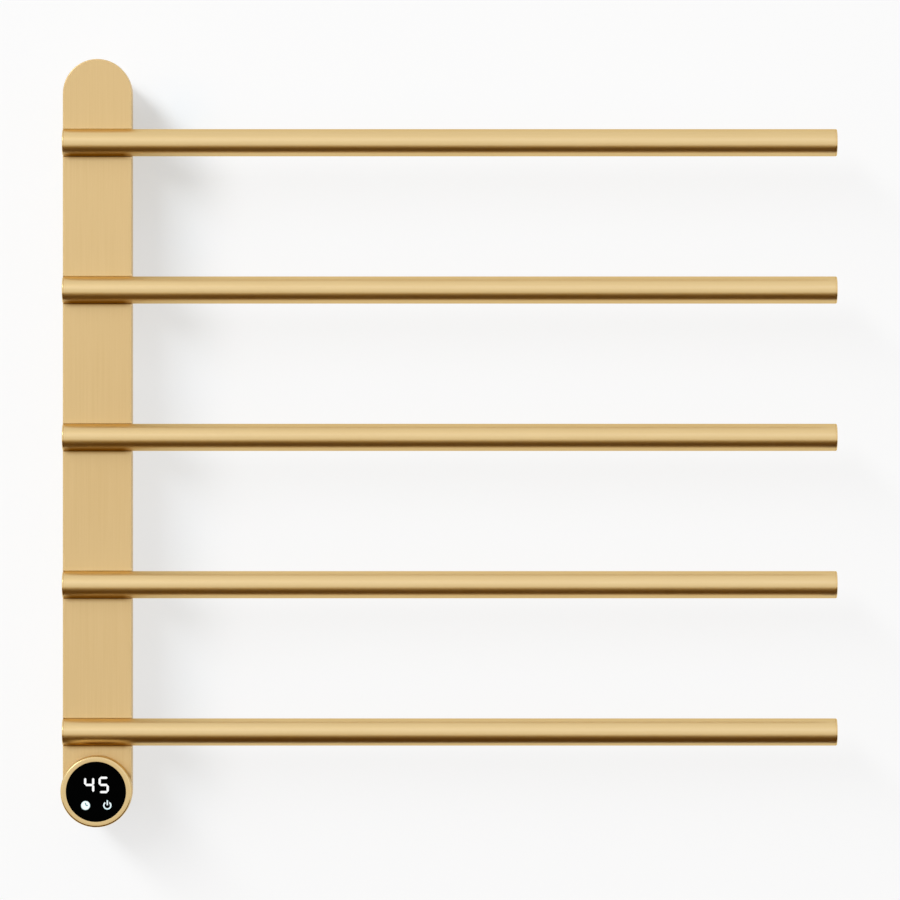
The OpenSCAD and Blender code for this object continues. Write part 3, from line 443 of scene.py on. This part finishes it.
def made_of(name, closed, *grids):
    """One object from grids of points that close on themselves from the last column to the
    first, and from the last row to the first if closed. Points that coincide become one."""
    points, quads, start = [], [], 0
    for grid in grids:
        index = np.arange(grid.shape[0] * grid.shape[1]).reshape(grid.shape[:2]) + start
        start += index.size
        if closed:
            index = np.vstack([index, index[:1]])
        a, b = index[:-1], index[1:]
        quads.append(np.stack([a, np.roll(a, -1, 1), np.roll(b, -1, 1), b], -1).reshape(-1, 4))
        points.append(grid.reshape(-1, 3))
    mesh = bpy.data.meshes.new(name)
    mesh.from_pydata(np.concatenate(points).tolist(), [], np.concatenate(quads).tolist())
    work = bmesh.new()
    work.from_mesh(mesh)
    bmesh.ops.remove_doubles(work, verts=work.verts, dist=1e-6)
    bmesh.ops.dissolve_degenerate(work, edges=work.edges, dist=1e-7)
    bmesh.ops.recalc_face_normals(work, faces=work.faces)
    work.to_mesh(mesh)
    work.free()
    mesh.shade_smooth()
    mesh.set_sharp_from_angle(angle=math.radians(32))
    made = bpy.data.objects.new(name, mesh)
    bpy.context.scene.collection.objects.link(made)
    return made


def fitted(piece, mix, slot, body, *nodes):
    """Gives a piece its finish and body, and hides the CAD nodes it stands for. The slot is not
    used.
    """
    piece.data.materials.append(mix.owner)
    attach(piece, body)
    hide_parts(*nodes)


def corner(s, r, radius, start, turn):
    """Points round a quarter circle about (s, r), from an angle start on, in degrees."""
    angle = np.radians(np.linspace(start, start + turn, 7))
    return [(s + radius * math.cos(t), r + radius * math.sin(t)) for t in angle]


LENGTHWISE_GRAIN = (12, 1100, 1100)
BAR_TONE = (0.808, 0.613, 0.317)
SUNK = (-0.069, -0.064)
END_CUT = 0.12
TUBE_WALL = 1.5
BAR_NUMBERS = range(1, 6)
bar_gold = finish("bar_gold")
lengthwise = bar_gold.noise(bar_gold.places(LENGTHWISE_GRAIN), 4.0, 0.6)
# Painted contact shade on the bar's lower half where it sinks into the column's face.
sunk = step(bar_gold, bar_gold.along("Y"), *SUNK)
painted_seat_shade = sunk * (below_bar(bar_gold) > 0) * over_column(bar_gold)
bar_colour = gold(bar_gold, BAR_TONE, lengthwise, 0.45)
gold_coat(bar_gold, bar_gold.blend(painted_seat_shade, bar_colour, PAINTED_CONTACT_SHADE), lengthwise, 1.0, 0.27,
          GRAIN_DEEP, leaning(bar_gold, "X") > 0.05)
low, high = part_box("towel_bar_1")
x0, x1 = low.x / MM, high.x / MM
bar_r = (high.z - low.z) / 2 / MM
bore_r = bar_r - TUBE_WALL
tube = [(x0, bore_r), (x0, bar_r - END_CUT), (x0 + END_CUT, bar_r), (x1 - END_CUT, bar_r),
        (x1, bar_r - END_CUT), (x1, bore_r)]
bar_lines = [middle(f"towel_bar_{k}") for k in BAR_NUMBERS]
for k, line in zip(BAR_NUMBERS, bar_lines):
    fitted(made_of(f"bar_{k}", True, turned(tube, "X", line)), bar_gold, "bar_gold", "rail",
           f"towel_bar_{k}")


# End caps
# Turned caps pressed into the tubes' ends, with a flat face, a rounded rim and a fine seam
# where they meet the tube. Their finish is the bars' own.
CAP_SHOWS = 1.2
CAP_PLUG = 5
CAP_ROUND = 0.8
CAP_GAP = 0.05


def cap_profile(face, side):
    """Half section of a cap from its face's centre to its plug's end. Side is the direction
    of the plug along X."""
    steps = [(0, 0), (0, bar_r - CAP_ROUND)]
    steps += corner(CAP_ROUND, bar_r - CAP_ROUND, CAP_ROUND, 180, -90)
    steps += [(CAP_SHOWS - END_CUT, bar_r), (CAP_SHOWS, bar_r - END_CUT)]
    steps += [(CAP_SHOWS, bore_r - CAP_GAP), (CAP_SHOWS + CAP_PLUG, bore_r - CAP_GAP)]
    steps += [(CAP_SHOWS + CAP_PLUG, 0)]
    return [(face + side * s, r) for s, r in steps]


for name, face, side in (("inner_caps", x0 - CAP_SHOWS, 1), ("outer_caps", x1 + CAP_SHOWS, -1)):
    caps = [turned(cap_profile(face, side), "X", line) for line in bar_lines]
    fitted(made_of(name.replace("caps", "end_caps"), False, *caps), bar_gold, "bar_gold",
           "rail", name)

# Heating elements
# A hairpin element in each bar, sheathed in brick-coloured silicone, with two tails that leave
# through the bar's back.
silicone = moulded("element_silicone", (0.36, 0.10, 0.05), 0.55, 1500, 2e-5)
dress(silicone, *[f"heating_element_{k}" for k in BAR_NUMBERS])

# Loom and wires
# A black braided loom up the column with nylon clips and splices, brown supply wires and a
# green and yellow earth wire that ends in a tinned ring lug.
STRAND = 1400
loom = finish("loom_braid")
turns = [loom.node("TexWave", {"bands_direction": "DIAGONAL"},
                   {"Vector": loom.places((side * STRAND, STRAND, STRAND)), "Scale": 0.32})
         for side in (1, -1)]
braid = turns[0] * turns[1]
loom.surface(Base_Color=loom.blend(braid, (0.010, 0.010, 0.011), (0.045, 0.045, 0.05)),
             Roughness=0.55 + braid * 0.2)
loom.relief(braid, 1e-4)
dress(loom, "heater_loom")
nylon = moulded("white_nylon", (0.74, 0.74, 0.71), 0.42, 900, 8e-6)
dress(nylon, "splice_blocks", "loom_clips", "board_connectors", "terminal_block",
      "detent_plunger")
brown_wire = moulded("brown_wire", (0.17, 0.065, 0.025), 0.4, 700, 6e-6)
dress(brown_wire, "supply_leads")
LUG = 0.0045
STRIPE = 0.0004
earth = finish("earth_wire")
yellow = earth.along("X", middle("earth_lead")) > STRIPE
jacket = earth.blend(yellow, (0.05, 0.28, 0.05), (0.75, 0.62, 0.04))
is_lug = earth.along("Z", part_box("earth_lead")[0]) < 2 * LUG
speckle = earth.noise(earth.places((900, 900, 900)))
earth.surface(Base_Color=earth.blend(is_lug, jacket, (0.62, 0.62, 0.60)), Metallic=is_lug,
              Roughness=0.34 + speckle * 0.16)
earth.relief(speckle, 6e-6)
dress(earth, "earth_lead")

# Power board
# A green glass-fibre board between the two lowest bars, with gold traces under its mask, and
# on it a potted supply module, a relay, a film capacitor and a cartridge fuse.
board = finish("circuit_board")
flat = board.node("SeparateXYZ", {}, {0: board.places((1, 1, 1))}, "X")
spot = board.node("CombineXYZ", {}, {0: flat, 1: board.along("Z")})
traces = board.node("TexBrick", {"offset": 0.37}, {"Vector": spot, "Scale": 110.0,
                    "Mortar Size": 0.035, "Brick Width": 0.9, "Row Height": 0.3}, "Fac")
weave = board.noise(board.places((1800, 1800, 1800)), 2.0)
mask_green = board.blend(weave, (0.010, 0.105, 0.042), (0.014, 0.14, 0.055))
board.surface(Base_Color=board.blend(traces, mask_green, (0.05, 0.23, 0.07)),
              Roughness=0.3 + weave * 0.12)
board.relief(traces, 4e-5)
dress(board, "power_board", "display_board")
plastic = moulded("black_plastic", (0.025, 0.025, 0.027), 0.44, 2600, 1.5e-5)
dress(plastic, "power_module", "temperature_sensor", "pod_core", "dial_carrier",
      "display_module", "hall_sensors")
dress(moulded("blue_plastic", (0.015, 0.075, 0.33), 0.36, 1800, 1e-5), "relay")
dress(moulded("yellow_plastic", (0.62, 0.36, 0.02), 0.4, 1800, 1e-5), "filter_capacitor")
FERRULE = 0.005
low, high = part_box("fuse")
fuse = finish("fuse_glass")
ferrule = abs(fuse.along("X", middle("fuse"))) > (high.x - low.x) / 2 - FERRULE
sand = fuse.noise(fuse.places((1400, 1400, 1400)))
tube_colour = fuse.blend(sand, (0.70, 0.68, 0.62), (0.55, 0.53, 0.48))
fuse.surface(Base_Color=fuse.blend(ferrule, tube_colour, (0.66, 0.64, 0.60)), Metallic=ferrule,
             Roughness=0.22 + sand * 0.1)
fuse.relief(sand, 4e-6)
dress(fuse, "fuse")

# Turning ring
# The control pod's dial: a turned gold ring, 55 mm across, with fine lathe rings round its
# face, a rounded outer edge and a thin lip round the glass. It turns on the pod's fixed core.
RING_WALL = 3
RING_ROUND = 1.5
LIP_ROUND = 0.15
LIP_DEEP = 3.95
LENS_GAP = 0.2
LATHE = 1500
RING_TONE = (0.765, 0.575, 0.285)
low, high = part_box("dial_ring")
pod = middle("dial_ring")
ring_r = (high.x - low.x) / 2 / MM
ring_front, ring_back = low.y / MM, high.y / MM
bore = ring_r - RING_WALL
lens_low, lens_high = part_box("glass_lens")
lip_r = (lens_high.x - lens_low.x) / 2 / MM + LENS_GAP
section = [(ring_back, bore), (ring_back, ring_r - LIP_ROUND), (ring_back - LIP_ROUND, ring_r)]
section += corner(ring_front + RING_ROUND, ring_r - RING_ROUND, RING_ROUND, 90, 90)
section += corner(ring_front + LIP_ROUND, lip_r + LIP_ROUND, LIP_ROUND, 180, 90)
section += [(ring_front + LIP_DEEP, lip_r), (ring_front + LIP_DEEP, bore)]
ring_gold = finish("ring_gold")
about = ring_gold.places((1, 0, 1), tuple(pod))
radius = ring_gold.node("VectorMath", {"operation": "LENGTH"}, {0: about}, "Value")
lathe = ring_gold.node("CombineXYZ", {}, {0: radius * LATHE, 1: ring_gold.along("Y") * LATHE})
turned_lines = ring_gold.noise(lathe, 3.0, 0.6)
rim = (radius > (ring_r - RING_ROUND - 1) * MM) * (leaning(ring_gold, "Y") < BRUSHED)
gold_coat(ring_gold, gold(ring_gold, RING_TONE, turned_lines, 0.3), turned_lines, 1.0, 0.3,
          3e-6, rim)
fitted(made_of("dial", True, turned(section, "Y", pod)), ring_gold, "ring_gold", "dial",
       "dial_ring")
magnet = zinc_plate("magnet", (0.10, 0.10, 0.105), 0.5)
dress(magnet, "magnet_ring")

# Glass and display
# A smoked lens with a low-reflection coat, let into the ring, and the windows lit from behind:
# two white digits, a white disc with two teal hands and a white power mark, edged in cyan.
glass = finish("black_glass")
haze = glass.noise(glass.places((90, 90, 90)), 3.0)
glass.surface(Base_Color=glass.blend(haze, (0.0002, 0.0002, 0.0002), (0.0006, 0.0006, 0.0006)),
              Roughness=0.08 + haze * 0.05, IOR=1.04)
dress(glass, "glass_lens")


def lit(name, inner, edge, reach):
    """A lit window, brightest in the middle and tinted towards its edge. Reach is the
    radius over which the tint comes in, about the node's own centre."""
    mix = finish(name)
    place = mix.places((1, 0, 1), tuple(middle(name)))
    away = mix.node("VectorMath", {"operation": "LENGTH"}, {0: place}, "Value")
    tint = mix.node("MapRange", {}, {0: away, 1: 0.75 * reach, 2: reach})
    mix.surface(Base_Color=(0, 0, 0), Roughness=0.4, Specular_IOR_Level=0.0,
                Emission_Color=mix.blend(tint, inner, edge), Emission_Strength=1.0)
    dress(mix, name)


lit("display_digits", (1, 1, 1), (0.93, 0.97, 1.0), 0.012)
lit("timer_icon", (0.95, 1, 1), (0.45, 0.85, 0.9), 0.0038)
lit("timer_hands", (0.10, 0.34, 0.36), (0.08, 0.3, 0.32), 0.003)
lit("power_icon", (0.85, 0.97, 1), (0.5, 0.88, 0.92), 0.0038)
ribbon = finish("ribbon_white")
rib = ribbon.node("TexWave", {}, {"Vector": ribbon.places((1000, 0, 0)), "Scale": 0.32})
ribbon.surface(Base_Color=ribbon.blend(rib, (0.72, 0.72, 0.70), (0.5, 0.5, 0.49)),
               Roughness=0.45 + rib * 0.1)
ribbon.relief(rib, 3e-5)
dress(ribbon, "display_ribbon")
